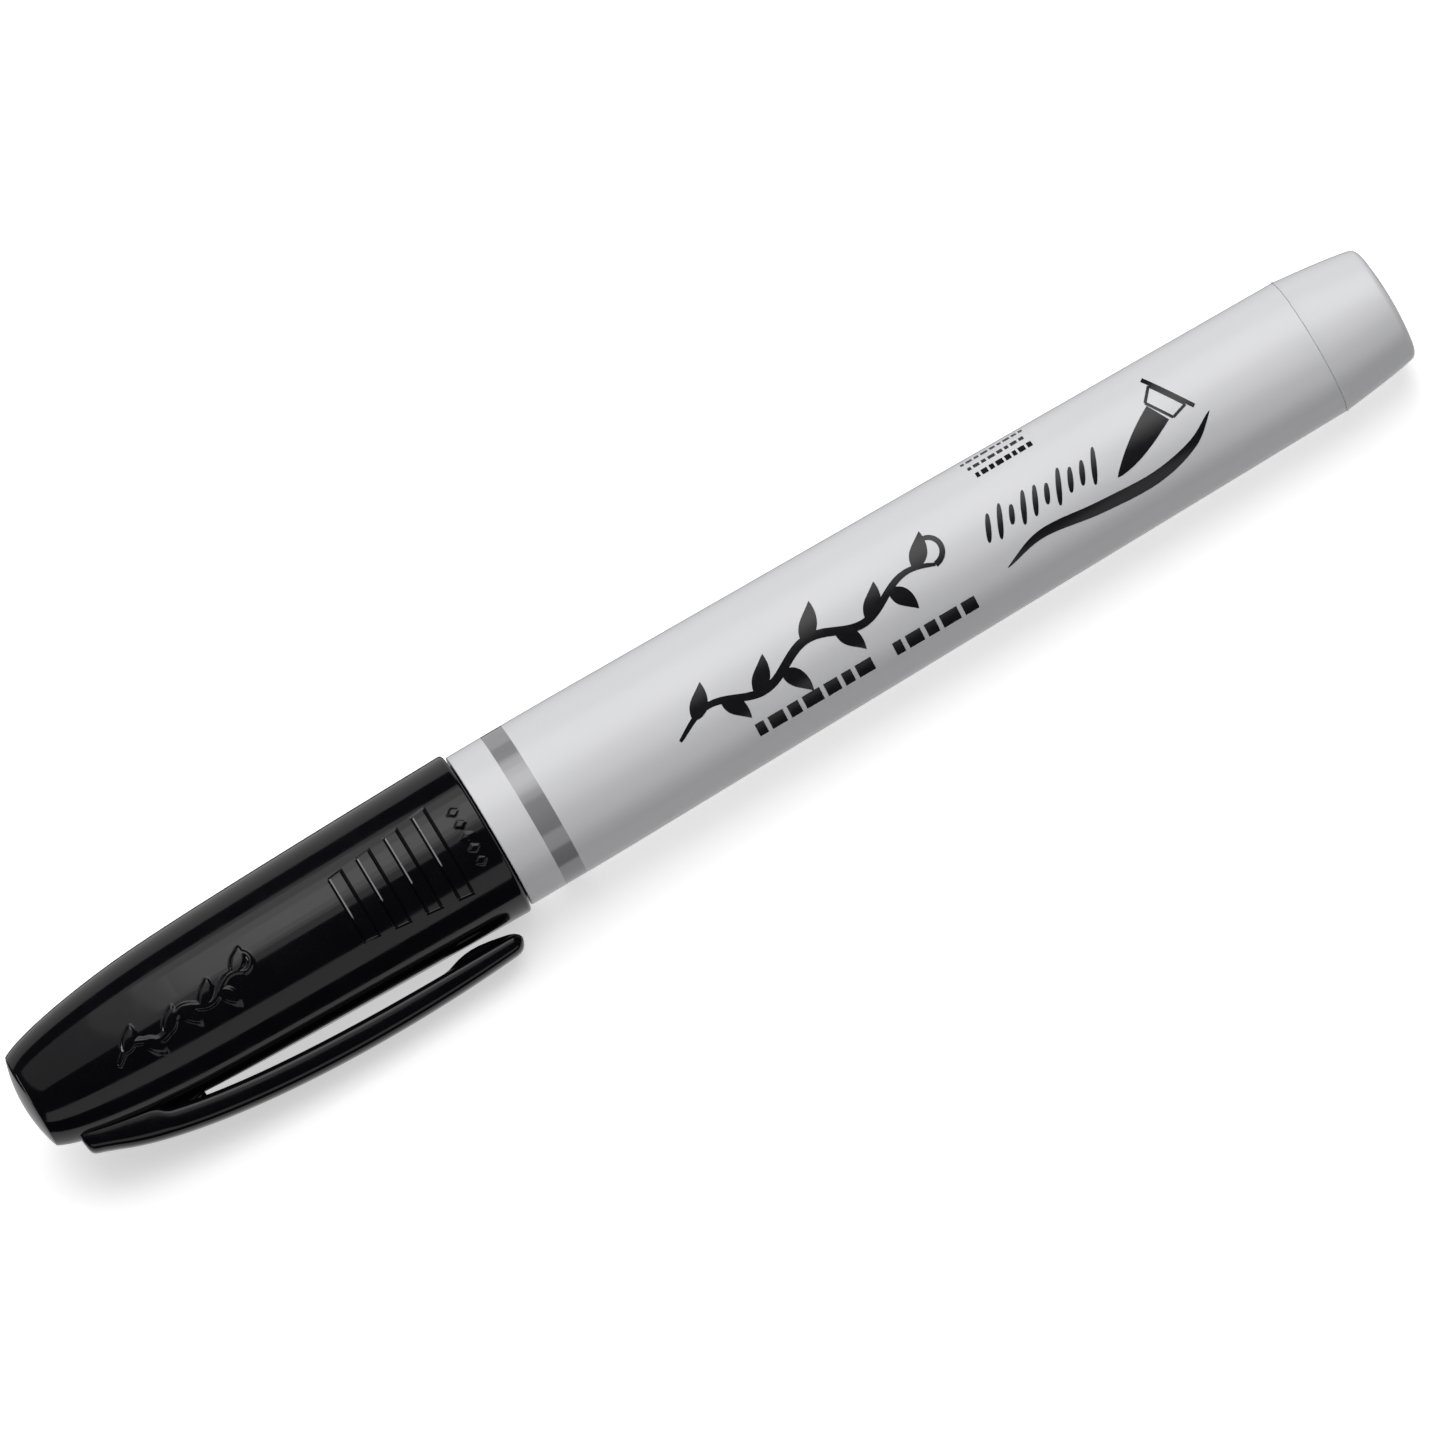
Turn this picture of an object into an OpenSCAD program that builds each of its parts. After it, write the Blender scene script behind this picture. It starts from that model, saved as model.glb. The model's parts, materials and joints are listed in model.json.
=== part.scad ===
// Capped brush marker: a barrel with a pressed-in tail plug, a nib holder with a flexible
// brush nib fed by a fibre reservoir, and a pull-off cap with a moulded pocket clip.
// +X runs along the pen towards its tail, the cap covers -X, and +Z is up. The origin is on
// the axis at the barrel's front shoulder. The pen lies on its side, resting on its clip.

/* [Barrel] */
// Length of the barrel without its tail plug
barrel_len = 82.8; // [82.7:0.05:83.4]
// Outer radius of the barrel's straight collar
collar_r = 7.38; // [7.3:0.01:7.5]
// Length of the barrel's straight collar
collar_len = 8.6; // [6:0.1:12]
// Outer radius of the barrel at its tail
barrel_tail_r = 6.45; // [6.4:0.01:6.6]
// Radius of the socket that holds the nib holder
socket_r = 6.2; // [6.1:0.01:6.25]
// Number of ribs that centre the ink reservoir
rib_count = 6; // [4:1:8]

/* [Tail plug] */
// Overall distance from the front shoulder to the tip of the plug
tail_x = 91; // [90.8:0.01:91.2]
// Radius of the spigot pressed into the barrel
spigot_r = 5.28; // [5.25:0.01:5.29]

/* [Cap] */
// Gap between the cap's mouth and the barrel's shoulder
mouth_gap = 0.2; // [0.15:0.01:0.6]
// Outer radius of the cap at its mouth
cap_r = 7.8; // [7.7:0.01:7.85]
// Radius of the edge where the cap's side meets its domed end
dome_r = 4.39; // [4.2:0.01:4.6]
// Height of the cap's domed end
dome_h = 0.72; // [0.5:0.01:1.2]
// Radius of the cap's bore over the nib holder
cap_bore_r = 6.66; // [6.64:0.01:6.7]
// Height of the raised grip bars
bar_h = 0.25; // [0.15:0.01:0.35]
// Number of grip bars on each side
bar_count = 4; // [2:1:4]
// Distance from one grip bar to the next
bar_pitch = 2.95; // [2.6:0.05:3.1]

/* [Clip] */
// Width of the pocket clip
clip_w = 4.3; // [3.6:0.1:5]
// Width of the gusset between the clip's root and the cap
web_w = 1.6; // [1.2:0.1:2.4]
// Radius of the round joint where the clip arm bends
clip_joint_r = 1; // [0.8:0.05:1.1]

/* [Nib] */
// Radius of the nib holder's seat for the cap
seat_r = 6.58; // [6.55:0.01:6.6]
// Radius of the nib holder's seal land
seal_r = 4.6; // [4.55:0.01:4.62]
// Radius of the nib's round stem
stem_r = 1.25; // [1.2:0.01:1.28]
// Position of the nib's point along the axis
point_x = -35; // [-36:0.1:-34]

/* [Reservoir] */
// Radius of the fibre reservoir
reservoir_r = 4.75; // [4.6:0.01:4.8]
// Length of the fibre reservoir
reservoir_len = 72; // [68:0.5:72]
// Thickness of the film around the reservoir
film_t = 0.18; // [0.1:0.01:0.2]

/* [Hidden] */
$fn = 96;

black_plastic = [0.03, 0.03, 0.035];
grey_plastic = [0.80, 0.80, 0.82];
natural_plastic = [0.88, 0.88, 0.85];
ink_black = [0.05, 0.05, 0.06];

press_gap = 0.02;
slide_gap = 0.05;

// Barrel and tail
edge_r = 0.12;
socket_len = 13.4;
bore_front_r = 5.95;
bore_rear_r = 5.45;
rib_w = 0.9;
rib_inner_r = reservoir_r + film_t + 0.07;
rib_outer_r = 6.1;
spigot_x = 76;
plug_bore_r = 4.2;
plug_end_x = 88.6;
plug_corner = [89.78, 4.71];
plug_corner_r = 0.8;
plug_dome_angle = 12;
stop_x = 74.1;
stop_w = 0.9;
stop_span = 2 * plug_bore_r + 0.5;

// Nib holder, nib and reservoir
holder_rear_x = 13;
buffer_x = -7.2;
buffer_r = 4.6;
reservoir_x = 1.8;
land_end_x = -8.2;
land_x = [-13.4, -18];
holder_tip_x = -25;
collar_out_r = 2;
collar_rear_x = -14.2;
flange_t = 0.5;
flange_r = 2.2;
stem_rear_x = 11;
nib_pivot_x = -26.9;
belly_r = 1.6;

// Cap
mouth_x = -mouth_gap;
dome_x = -46;
lip_r = 0.35;
flange_seat_r = 5.76;
cavity_end_x = -44.2;
liner_mouth_x = -14;
liner_end_x = -43.2;
liner_t = 0.7;
bar_w = 1.45;
bar_first_x = -13.6;
bar_bevel = 0.12;

// Clip outline, as (distance along the axis, distance from the axis)
clip_nose = [[-44, 4.6], [-43.78, 6.3], [-43.62, 6.64], [-43.3, 6.82]];
clip_outer = [[-41.4, 7.5], [-34.1, 10.7], [-17.9, 11.8], [-3.3, 10.62]];
clip_tip = [[-2.62, 10.42], [-2.28, 10.05], [-2.15, 9.6], [-2.2, 9.15], [-2.45, 8.88], [-2.8, 8.76]];
clip_bump = [[-4.6, 8.32], [-5.7, 8.12], [-6.7, 8.09], [-7.7, 8.22], [-8.6, 8.52]];
clip_inner = [[-9.5, 8.74], [-16.9, 8.72], [-28.9, 8.45], [-36.1, 6.6]];
clip_root = [[-36.6, 6.1], [-37.4, 5.2], [-40, 4.6]];
pivot_x = -32;
pivot_r = 8.77;
bend_gap = 0.08;
clip_top_r = 11.08;
lean_gap = 0.15;

// The pen has rolled until its clip's outer corner touches the table with its grip bars. It leans
// back onto its tail, so the clip's corner sits lower than the bars by the lean gap.
rest_r = bar_base_r(bar_first_x + (bar_count - 1) * bar_pitch) + bar_h;
clip_corner = atan(clip_w / 2 / clip_top_r);
clip_drop = asin((rest_r + lean_gap) / norm([clip_top_r, clip_w / 2])) - clip_corner;

// Points along a cubic curve through its first and last control points
function curve(p, steps) = [for (i = [0:steps]) let (t = i / steps, u = 1 - t)
    u * u * u * p[0] + 3 * u * u * t * p[1] + 3 * u * t * t * p[2] + t * t * t * p[3]];

// Points along an arc about a centre
function arc(centre, r, from, to, steps) = [for (i = [0:steps])
    let (a = from + (to - from) * i / steps) centre + r * [cos(a), sin(a)]];

// Points of a shallow dome, from its edge to the axis, bulging by h along the axis
function dome(edge, h, steps) = let (
    big_r = (edge[1] * edge[1] + h * h) / (2 * abs(h)),
    a = asin(edge[1] / big_r),
    side = sign(h))
    [for (i = [0:steps]) let (b = a * (1 - i / steps))
        [edge[0] + h + side * big_r * (cos(b) - 1), big_r * sin(b)]];

function reversed(list) = [for (i = [len(list) - 1:-1:0]) list[i]];

// Outer radius of the cap near its grip bars
function bar_base_r(x) = cap_r + 0.0155 * (x + 0.8);

// A body turned about the pen's axis from an outline of (x, radius) points
module turned(outline) {
    rotate([0, 90, 0])
        rotate_extrude()
            polygon([for (p = outline) [p[1], p[0]]]);
}

// The clip's own frame: x along the pen, y outwards to the clip, z across it
module clip_frame() {
    rotate([180 + clip_drop, 0, 0])
        children();
}

module barrel() {
    outer = concat(
        arc([edge_r, collar_r - edge_r], edge_r, 180, 90, 6),
        [[collar_len, collar_r], [barrel_len - 0.1, barrel_tail_r], [barrel_len, barrel_tail_r - 0.1]]);
    inner = [
        [barrel_len, spigot_r + press_gap],
        [stop_x + 1.2, spigot_r + press_gap],
        [stop_x, bore_rear_r],
        [socket_len + 0.4, bore_front_r],
        [socket_len, socket_r],
        [0, socket_r]];
    rib_len = 52;
    rib_x = 20;
    color(grey_plastic)
        union() {
            turned(concat(outer, inner));
            for (i = [0:rib_count - 1])
                rotate([i * 360 / rib_count, 0, 0])
                    translate([rib_x, rib_inner_r, -rib_w / 2])
                        cube([rib_len, rib_outer_r - rib_inner_r, rib_w]);
        }
}

module tail_plug() {
    side = curve([[barrel_len + 0.1, barrel_tail_r - 0.02], [84.9, 6.24], [87.9, 5.92], [90.03, 5.471]], 8);
    corner = arc(plug_corner, plug_corner_r, 72, plug_dome_angle, 5);
    edge = corner[len(corner) - 1];
    end = dome(edge, tail_x - edge[0], 6);
    spigot = [
        [plug_end_x, 0],
        [plug_end_x, plug_bore_r],
        [spigot_x, plug_bore_r],
        [spigot_x, spigot_r - 0.4],
        [spigot_x + 0.4, spigot_r],
        [barrel_len, spigot_r],
        [barrel_len, barrel_tail_r - 0.12]];
    color(grey_plastic)
        union() {
            turned(concat(spigot, side, corner, [for (i = [1:len(end) - 1]) end[i]]));
            for (turn = [0, 90])
                rotate([turn, 0, 0])
                    translate([stop_x, -stop_span / 2, -stop_w / 2])
                        cube([plug_end_x - stop_x + 0.3, stop_span, stop_w]);
        }
}

module nib_holder() {
    shoulder = curve([[-8.6, 6.2], [-10.6, 6.2], [-11.6, 4.75], [land_x[0], seal_r]], 8);
    snout = curve([[land_x[1], seal_r], [-20.6, 4.5], [-22.6, 2.95], [-24.7, 2.62]], 8);
    outer = concat(
        [[holder_rear_x, buffer_r + 0.5 + film_t],
        [holder_rear_x, socket_r - 0.4],
        [holder_rear_x - 0.4, socket_r - press_gap],
        [0, socket_r - press_gap],
        [0, seat_r],
        [land_end_x, seat_r]],
        shoulder,
        snout,
        [[holder_tip_x, 2.35]]);
    inner = [
        [holder_tip_x, collar_out_r + press_gap],
        [collar_rear_x, collar_out_r + press_gap],
        [collar_rear_x, stem_r + 0.1],
        [buffer_x, stem_r + 0.1],
        [buffer_x, buffer_r],
        [reservoir_x, buffer_r],
        [reservoir_x, buffer_r + 0.4 + film_t]];
    bead_x = -6.4;
    color(black_plastic)
        union() {
            turned(concat(outer, inner));
            turned([[bead_x - 0.5, seat_r - 0.2], [bead_x - 0.5, seat_r], [bead_x, seat_r + 0.03],
                [bead_x + 0.5, seat_r], [bead_x + 0.5, seat_r - 0.2]]);
        }
}

// The sleeve that grips the nib's stem, with grooves that let air back into the pen
module tip_collar() {
    groove = 0.5;
    groove_depth = 0.3;
    color(black_plastic)
        difference() {
            turned([
                [holder_tip_x - flange_t, stem_r + press_gap],
                [holder_tip_x - flange_t, flange_r - 0.2],
                [holder_tip_x - flange_t + 0.2, flange_r],
                [holder_tip_x, flange_r],
                [holder_tip_x, collar_out_r],
                [collar_rear_x, collar_out_r],
                [collar_rear_x, stem_r + press_gap]]);
            for (turn = [30, 150, 270])
                rotate([turn, 0, 0])
                    translate([holder_tip_x - flange_t - 1, collar_out_r - groove_depth, -groove / 2])
                        cube([collar_rear_x - holder_tip_x + flange_t + 2, 1, groove]);
        }
}

// The nib's straight stem, which carries ink forwards from the reservoir
module tip_stem() {
    front_x = holder_tip_x - flange_t - 0.05;
    color(ink_black)
        turned([[front_x, 0], [front_x, stem_r], [stem_rear_x - 0.8, stem_r], [stem_rear_x, 0.5],
            [stem_rear_x, 0]]);
}

// The flexible cone of the nib, with a ball end about which it bends
module brush_tip() {
    ball = arc([nib_pivot_x, 0], stem_r, 0, 90, 8);
    cone = curve([[nib_pivot_x, stem_r], [-28.6, belly_r + 0.2], [-31.2, belly_r - 0.3],
        [point_x + 0.2, 0.2]], 12);
    color(ink_black)
        turned(concat(ball, [for (i = [1:len(cone) - 1]) cone[i]], [[point_x, 0.08], [point_x, 0]]));
}

module ink_reservoir() {
    stem_hole_r = stem_r + press_gap;
    rear_x = reservoir_x + reservoir_len;
    color(natural_plastic)
        turned([
            [reservoir_x, stem_hole_r],
            [reservoir_x, reservoir_r],
            [rear_x, reservoir_r],
            [rear_x, 0],
            [stem_rear_x + 0.2, 0],
            [stem_rear_x + 0.2, stem_hole_r]]);
}

module reservoir_film() {
    film_in = reservoir_r + press_gap / 2;
    film_out = reservoir_r + film_t;
    film_x = [reservoir_x + 0.1, reservoir_x + reservoir_len - 0.3];
    color([0.93, 0.93, 0.95, 0.5])
        turned([[film_x[0], film_in], [film_x[0], film_out], [film_x[1], film_out], [film_x[1], film_in]]);
}

// The cap's turned shell: dome, tapering side, rounded lip and the stepped cavity
module cap_body() {
    side_front = curve([[dome_x, dome_r], [-43.88, 5.66], [-36.09, 6.81], [-30.5, 7.06]], 12);
    side_rear = curve([[-30.5, 7.06], [-24.01, 7.44], [-8.03, 7.7], [mouth_x - lip_r, cap_r]], 9);
    lip = arc([mouth_x - lip_r, cap_r - lip_r], lip_r, 90, 0, 6);
    cavity = [
        [mouth_x, cap_bore_r + 0.3],
        [mouth_x - 0.3, cap_bore_r],
        [-11.5, cap_bore_r],
        [-12.2, flange_seat_r],
        [-16.2, flange_seat_r],
        [-16.6, 5.5],
        [-36, 5.3],
        [-40.5, 4.7],
        [cavity_end_x, 3.4],
        [cavity_end_x, 0]];
    turned(concat(
        reversed(dome([dome_x, dome_r], -dome_h, 8)),
        [for (i = [1:len(side_front) - 1]) side_front[i]],
        [for (i = [1:len(side_rear) - 1]) side_rear[i]],
        [for (i = [1:len(lip) - 1]) lip[i]],
        cavity));
}

// Raised bars on both broad sides, each longer than the one before it
module grip_bars() {
    intersection() {
        for (i = [0:bar_count - 1]) {
            x = bar_first_x + i * bar_pitch;
            base = bar_base_r(x);
            turned([
                [x - bar_w / 2, base - 0.3],
                [x - bar_w / 2, base + bar_h - bar_bevel],
                [x - bar_w / 2 + bar_bevel, base + bar_h],
                [x + bar_w / 2 - bar_bevel, base + bar_h],
                [x + bar_w / 2, base + bar_h - bar_bevel],
                [x + bar_w / 2, base - 0.3]]);
        }
        clip_frame()
            linear_extrude(4 * cap_r, center = true)
                polygon([[-14.6, -3.12], [-3.7, -4.32], [-3.7, 4.32], [-14.6, 3.12]]);
    }
}

clip_outline = concat(clip_nose, curve(clip_outer, 16), clip_tip, clip_bump,
    curve(clip_inner, 10), clip_root);

// The fixed start of the clip, cut back around the round joint, with the gusset under it
module clip_stub() {
    clip_frame()
        union() {
            difference() {
                linear_extrude(clip_w, center = true)
                    polygon(clip_outline);
                translate([pivot_x - 0.3, 0, -clip_w])
                    cube([-pivot_x, 2 * clip_top_r, 2 * clip_w]);
                translate([pivot_x, pivot_r, 0])
                    cylinder(h = 2 * clip_w, r = clip_joint_r + bend_gap, center = true);
            }
            linear_extrude(web_w, center = true)
                polygon([[-38.5, 5.4], [-37.4, 7.2], [-32.8, 7.62], [-32.55, 6.5], [-34, 5.9]]);
        }
}

module cap_shell() {
    color(black_plastic)
        union() {
            cap_body();
            grip_bars();
            difference() {
                clip_stub();
                turned([[-45, 0], [-45, 4.5], [-40, 5.6], [-30, 6.6], [-30, 0]]);
            }
        }
}

module clip_arm() {
    color(black_plastic)
        clip_frame()
            union() {
                difference() {
                    linear_extrude(clip_w, center = true)
                        polygon(clip_outline);
                    translate([pivot_x - 20, 0, -clip_w])
                        cube([20, 2 * clip_top_r, 2 * clip_w]);
                }
                translate([pivot_x, pivot_r, 0])
                    cylinder(h = clip_w, r = clip_joint_r, center = true);
            }
}

// The inner cup that seals on the nib holder and keeps the nib wet
module cap_liner() {
    seal_bore_r = seal_r + slide_gap;
    color(natural_plastic)
        turned([
            [liner_mouth_x, seal_bore_r + 0.35],
            [liner_mouth_x, flange_seat_r - 0.3],
            [liner_mouth_x - 0.3, flange_seat_r - press_gap],
            [-15.8, flange_seat_r - press_gap],
            [-16.4, 5.3],
            [-36, 5.05],
            [-40.2, 4.45],
            [liner_end_x, 3.3],
            [liner_end_x, 0],
            [liner_end_x + liner_t, 0],
            [liner_end_x + liner_t, 3],
            [-39.8, 3.8],
            [-36, 4.35],
            [-20, 4.72],
            [-16.9, 4.78],
            [-16.5, seal_bore_r],
            [liner_mouth_x - 0.4, seal_bore_r]]);
}

barrel();
tail_plug();
nib_holder();
tip_collar();
tip_stem();
brush_tip();
ink_reservoir();
reservoir_film();
cap_shell();
cap_liner();
clip_arm();
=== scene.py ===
"""Looks of the capped brush marker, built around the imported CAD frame."""
import json
import math

import bpy
import numpy as np
from mathutils import Matrix, Vector
from mathutils.geometry import delaunay_2d_cdt


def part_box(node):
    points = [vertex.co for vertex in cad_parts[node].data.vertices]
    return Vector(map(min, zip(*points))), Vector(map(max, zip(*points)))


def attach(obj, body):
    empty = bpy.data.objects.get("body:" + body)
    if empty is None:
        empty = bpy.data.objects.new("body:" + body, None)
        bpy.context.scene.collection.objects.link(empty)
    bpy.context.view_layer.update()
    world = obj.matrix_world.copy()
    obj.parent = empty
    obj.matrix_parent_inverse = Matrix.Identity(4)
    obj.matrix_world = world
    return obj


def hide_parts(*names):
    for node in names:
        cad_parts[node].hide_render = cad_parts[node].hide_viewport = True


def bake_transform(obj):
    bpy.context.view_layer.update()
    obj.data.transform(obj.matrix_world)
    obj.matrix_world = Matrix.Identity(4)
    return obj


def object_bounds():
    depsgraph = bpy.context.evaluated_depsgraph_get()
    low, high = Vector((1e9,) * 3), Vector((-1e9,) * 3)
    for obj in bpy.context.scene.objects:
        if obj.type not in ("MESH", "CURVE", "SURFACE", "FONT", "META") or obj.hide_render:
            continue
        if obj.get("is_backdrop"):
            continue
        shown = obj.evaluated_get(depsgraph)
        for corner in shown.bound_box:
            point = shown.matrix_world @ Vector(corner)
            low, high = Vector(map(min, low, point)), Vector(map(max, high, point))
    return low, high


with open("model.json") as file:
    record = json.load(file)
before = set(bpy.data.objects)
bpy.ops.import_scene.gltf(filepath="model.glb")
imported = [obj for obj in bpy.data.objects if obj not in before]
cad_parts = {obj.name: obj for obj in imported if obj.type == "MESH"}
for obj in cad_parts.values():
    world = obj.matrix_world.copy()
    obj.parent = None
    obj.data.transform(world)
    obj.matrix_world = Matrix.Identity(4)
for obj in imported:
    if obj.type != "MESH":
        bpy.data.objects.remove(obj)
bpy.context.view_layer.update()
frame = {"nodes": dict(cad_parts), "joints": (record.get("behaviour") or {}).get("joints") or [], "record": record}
MM = 0.001
COLLECTION = bpy.context.scene.collection

# ---------------------------------------------------------------- places taken from the frame

MOUNTS = {m["name"]: m for m in frame["record"]["mounts"]}
JOINTS = {j["name"]: j for j in frame["joints"]}
CLIP_POINT = Vector(MOUNTS["pocket_clip"]["pos_m"])
CLIP_OUT = Vector((0, CLIP_POINT.y, CLIP_POINT.z)).normalized()
CLIP_ACROSS = Vector(JOINTS["clip_flex"]["axis"]).normalized()
NIB_PIVOT_X = JOINTS["nib_flex"]["pos_m"][0] / MM
CAP_END_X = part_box("cap_shell")[0].x / MM
MOUTH_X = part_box("cap_shell")[1].x / MM
BARREL_END_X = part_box("barrel")[1].x / MM
TAIL_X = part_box("tail_plug")[1].x / MM
COLLAR_R = MOUNTS["barrel_collar"]["dims"]["r_mm"]
COLLAR_START = MOUNTS["barrel_collar"]["pos_m"][0] / MM

# ---------------------------------------------------------------- outlines, in mm as (x, radius)


def curve(p, steps):
    """Points along a cubic curve, first and last control points included."""
    t = np.linspace(0, 1, steps + 1)[:, None]
    p = np.array(p, float)
    return (1 - t) ** 3 * p[0] + 3 * (1 - t) ** 2 * t * p[1] + 3 * (1 - t) * t**2 * p[2] + t**3 * p[3]


def arc(centre, radius, start, end, steps):
    """Points along an arc, angles in degrees from +x towards +radius."""
    a = np.radians(np.linspace(start, end, steps + 1))
    return np.array(centre) + radius * np.column_stack([np.cos(a), np.sin(a)])


def rounded(points, radius, steps=4):
    """An open outline with each inner corner replaced by a small arc-like curve."""
    p = np.array(points, float)
    out = [p[0]]
    for a, b, c in zip(p[:-2], p[1:-1], p[2:]):
        u, v = a - b, c - b
        cut = min(radius, 0.45 * np.linalg.norm(u), 0.45 * np.linalg.norm(v))
        start, end = b + u / np.linalg.norm(u) * cut, b + v / np.linalg.norm(v) * cut
        t = np.linspace(0, 1, steps + 1)[:, None]
        out.extend((1 - t) ** 2 * start + 2 * (1 - t) * t * b + t**2 * end)
    out.append(p[-1])
    return np.array(out)


def dome(edge, tip_x, steps):
    """Points from a dome's edge to its tip on the axis."""
    x, r = edge
    height = abs(tip_x - x)
    side = 1 if tip_x > x else -1
    big = (r * r + height * height) / (2 * height)
    a = math.asin(r / big) * (1 - np.linspace(0, 1, steps + 1))
    return np.column_stack([tip_x + side * big * (np.cos(a) - 1), big * np.sin(a)])


def line_points(points, steps):
    """A smooth line through every point, with the same number of steps between each two."""
    p = np.array(points, float)
    ends = np.vstack([2 * p[0] - p[1], p, 2 * p[-1] - p[-2]])
    out = []
    for a, b, c, d in zip(ends[:-3], ends[1:-2], ends[2:-1], ends[3:]):
        t = np.linspace(0, 1, steps, endpoint=False)[:, None]
        out.append(0.5 * (2 * b + (c - a) * t + (2 * a - 5 * b + 4 * c - d) * t**2
                          + (3 * b - a - 3 * c + d) * t**3))
    return np.vstack(out + [p[-1:]])


def vine(length, height, leaves, weight):
    """A leafy tendril as strokes, each a centre line and its half widths, in a box length by height.
    The weight is the stem's half width as a share of the height."""
    t = np.linspace(0, 1, 90)
    wave = 0.10 * np.sin(2 * np.pi * 2.6 * t + 2.6) + 0.12 - 0.2 * t
    stem = np.column_stack([length * t, height * wave])
    thick = weight * height
    strokes = [(stem, thick * (0.35 + 0.65 * np.sin(np.pi * t) ** 0.6))]
    leaf_t = np.linspace(0, 1, 18)
    leaf = np.sin(np.pi * leaf_t**0.75) ** 0.9
    for i, along in enumerate(np.linspace(0.07, 0.93, leaves)):
        above = i % 2 == 1
        root = np.array([np.interp(along, t, stem[:, 0]), np.interp(along, t, stem[:, 1])])
        lean = math.radians(58 if above else 50)
        reach = height * (0.45 - 0.10 * abs(along - 0.45)) * (0.9 if above else 1.0)
        heading = np.array([math.cos(lean), math.sin(lean) * (1 if above else -1)])
        bend = np.array([-heading[1], heading[0]]) * (-0.3 if above else 0.3)
        spine = root + reach * (leaf_t[:, None] * heading + (leaf_t * (1 - leaf_t))[:, None] * bend)
        strokes.append((spine, (0.045 + weight) * height * leaf + 0.01))
    a = np.linspace(0, 1.5 * np.pi, 44)
    curl_r = height * 0.17 * (1 - 0.35 * a / a[-1])
    curl = stem[-1] + np.column_stack([curl_r * np.sin(a), curl_r * np.cos(a) - curl_r[0]])
    strokes.append((curl, thick * (0.7 - 0.25 * a / a[-1])))
    return strokes


# ---------------------------------------------------------------- meshes


def new_object(name, verts, faces, material):
    """A smooth-shaded mesh object from points in mm."""
    mesh = bpy.data.meshes.new(name)
    mesh.from_pydata((np.array(verts) * MM).tolist(), [], faces)
    mesh.validate()
    mesh.update()
    mesh.polygons.foreach_set("use_smooth", [True] * len(mesh.polygons))
    mesh.materials.append(material)
    obj = bpy.data.objects.new(name, mesh)
    COLLECTION.objects.link(obj)
    return obj


def grid_faces(rows, cols, wrap_rows=False):
    """Quads between rows of points, each row closing on itself."""
    faces = []
    for i in range(rows if wrap_rows else rows - 1):
        a = i * cols
        b = ((i + 1) % rows) * cols
        faces.extend((a + j, a + (j + 1) % cols, b + (j + 1) % cols, b + j) for j in range(cols))
    return faces


def end_fans(rows, cols):
    """Triangles that close the first and the last row, each round a centre point after the rows."""
    centre, last = rows * cols, (rows - 1) * cols
    first_fan = [(centre, (j + 1) % cols, j) for j in range(cols)]
    return first_fan + [(centre + 1, last + j, last + (j + 1) % cols) for j in range(cols)]


def lathe(name, outline, material, segments):
    """A solid of revolution about the pen's axis. The outline starts and ends on the axis, or is a
    closed loop."""
    p = np.array(outline, float)
    poles = p[0][1] < 1e-9 and p[-1][1] < 1e-9
    ring = p[1:-1] if poles else p
    a = np.linspace(0, 2 * np.pi, segments, endpoint=False)
    verts = np.stack([
        np.repeat(ring[:, 0:1], segments, 1),
        ring[:, 1:2] * np.cos(a),
        ring[:, 1:2] * np.sin(a)], -1).reshape(-1, 3)
    faces = grid_faces(len(ring), segments, wrap_rows=not poles)
    if poles:
        verts = np.vstack([verts, [p[0][0], 0, 0], [p[-1][0], 0, 0]])
        faces += end_fans(len(ring), segments)
    obj = new_object(name, verts, faces, material)
    face_outwards(obj)
    return obj


def face_outwards(obj):
    """Flips a closed mesh whose faces look in."""
    mesh = obj.data
    co = np.empty(len(mesh.vertices) * 3)
    mesh.vertices.foreach_get("co", co)
    co = co.reshape(-1, 3)
    mesh.calc_loop_triangles()
    tri = np.empty(len(mesh.loop_triangles) * 3, int)
    mesh.loop_triangles.foreach_get("vertices", tri)
    a, b, c = (co[tri.reshape(-1, 3)[:, i]] for i in range(3))
    if np.einsum("ij,ij->i", a, np.cross(b, c)).sum() < 0:
        mesh.flip_normals()


def sharpen(obj, angle):
    """Keeps edges sharper than the angle, in degrees, crisp under smooth shading."""
    obj.data.set_sharp_from_angle(angle=math.radians(angle))


# ---------------------------------------------------------------- materials

BAND_X = (3.43, 5.50)
BAND_SOFT = 0.03
BAND_COLOUR = (0.34, 0.34, 0.355)
BAND_GLOSS = 0.06
BAND_METAL = 0.35


def material(name, colour, roughness, **sockets):
    """A principled material, with its node tree and its shader."""
    mat = bpy.data.materials.new(name)
    mat.use_nodes = True
    tree = mat.node_tree
    shader = tree.nodes["Principled BSDF"]
    shader.inputs["Base Color"].default_value = (*colour, 1)
    shader.inputs["Roughness"].default_value = roughness
    for socket, value in sockets.items():
        shader.inputs[socket.replace("_", " ").title().replace("Ior", "IOR")].default_value = value
    return mat, tree, shader


def coordinates(tree, scale):
    """Object coordinates stretched by scale, so that 1 is one millimetre."""
    coord = tree.nodes.new("ShaderNodeTexCoord")
    mapping = tree.nodes.new("ShaderNodeMapping")
    mapping.inputs["Scale"].default_value = [s / MM for s in scale]
    tree.links.new(coord.outputs["Object"], mapping.inputs["Vector"])
    return mapping.outputs["Vector"]


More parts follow.
